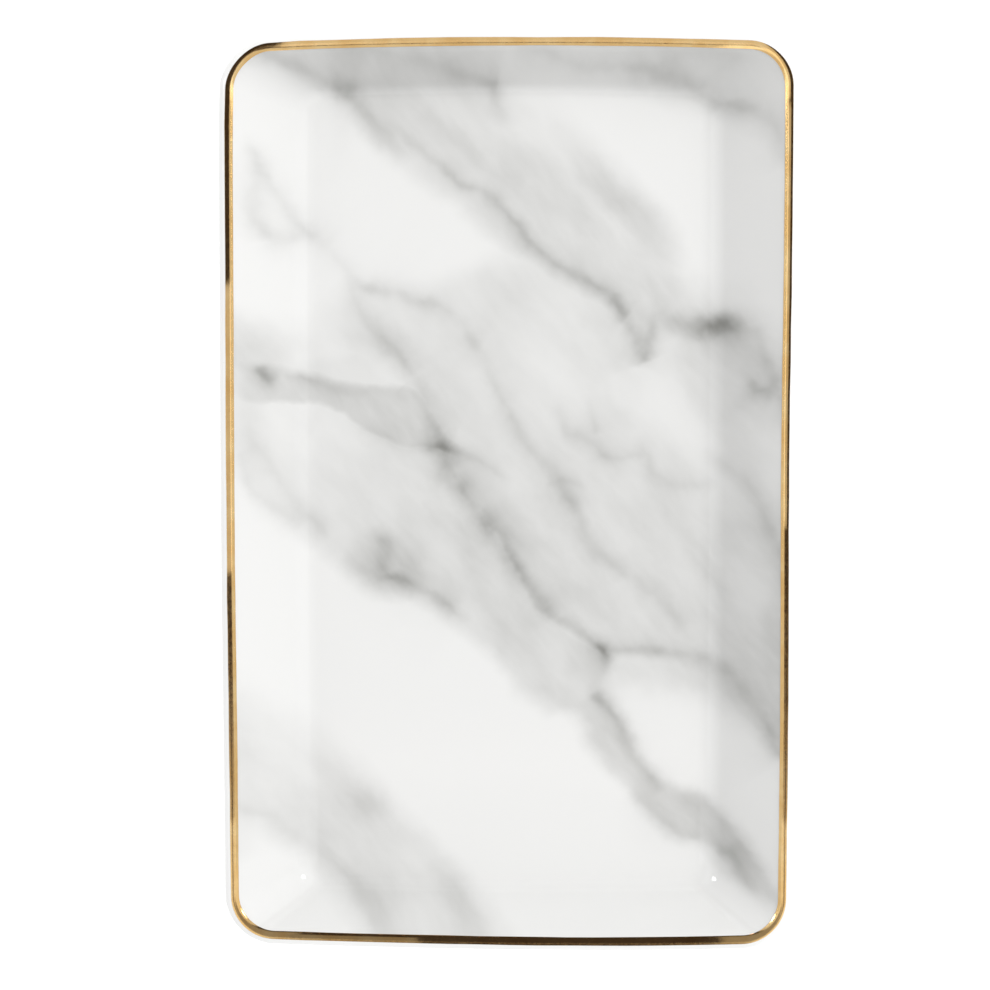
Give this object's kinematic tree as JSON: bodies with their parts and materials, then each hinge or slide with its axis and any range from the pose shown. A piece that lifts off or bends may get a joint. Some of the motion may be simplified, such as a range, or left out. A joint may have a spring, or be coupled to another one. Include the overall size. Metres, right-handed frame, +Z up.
{
  "type": "dresser vanity tray",
  "caption": "Shallow rectangular porcelain vanity tray with marbled glaze, sloping walls, a raised gold line on the lip and silicone pads inside the foot ring.",
  "frame": {"origin": "middle of the outline, on the plane the pads stand on", "axes": "+Z up out of the tray, +Y along the long way, +X to the right with +Y pointing away"},
  "size_m": [0.128, 0.204, 0.0202],
  "materials": {
    "bare_porcelain": "matt, unglazed",
    "marble_glaze": "glossy glaze over a grey veined print",
    "white_glaze": "glossy white glaze",
    "gold": "bright fired gold",
    "silicone": "satin, translucent grey-white",
    "adhesive": "matt acrylic film"
  },
  "bodies": {
    "root": {"porcelain_body": "bare_porcelain", "marble_glaze": "marble_glaze", "outer_glaze": "white_glaze", "underside_glaze": "white_glaze", "gold_band": "gold", "pad_back_left": "silicone", "pad_back_right": "silicone", "pad_front_left": "silicone", "pad_front_right": "silicone", "adhesive_back_left": "adhesive", "adhesive_back_right": "adhesive", "adhesive_front_left": "adhesive", "adhesive_front_right": "adhesive"}
  },
  "joints": []
}
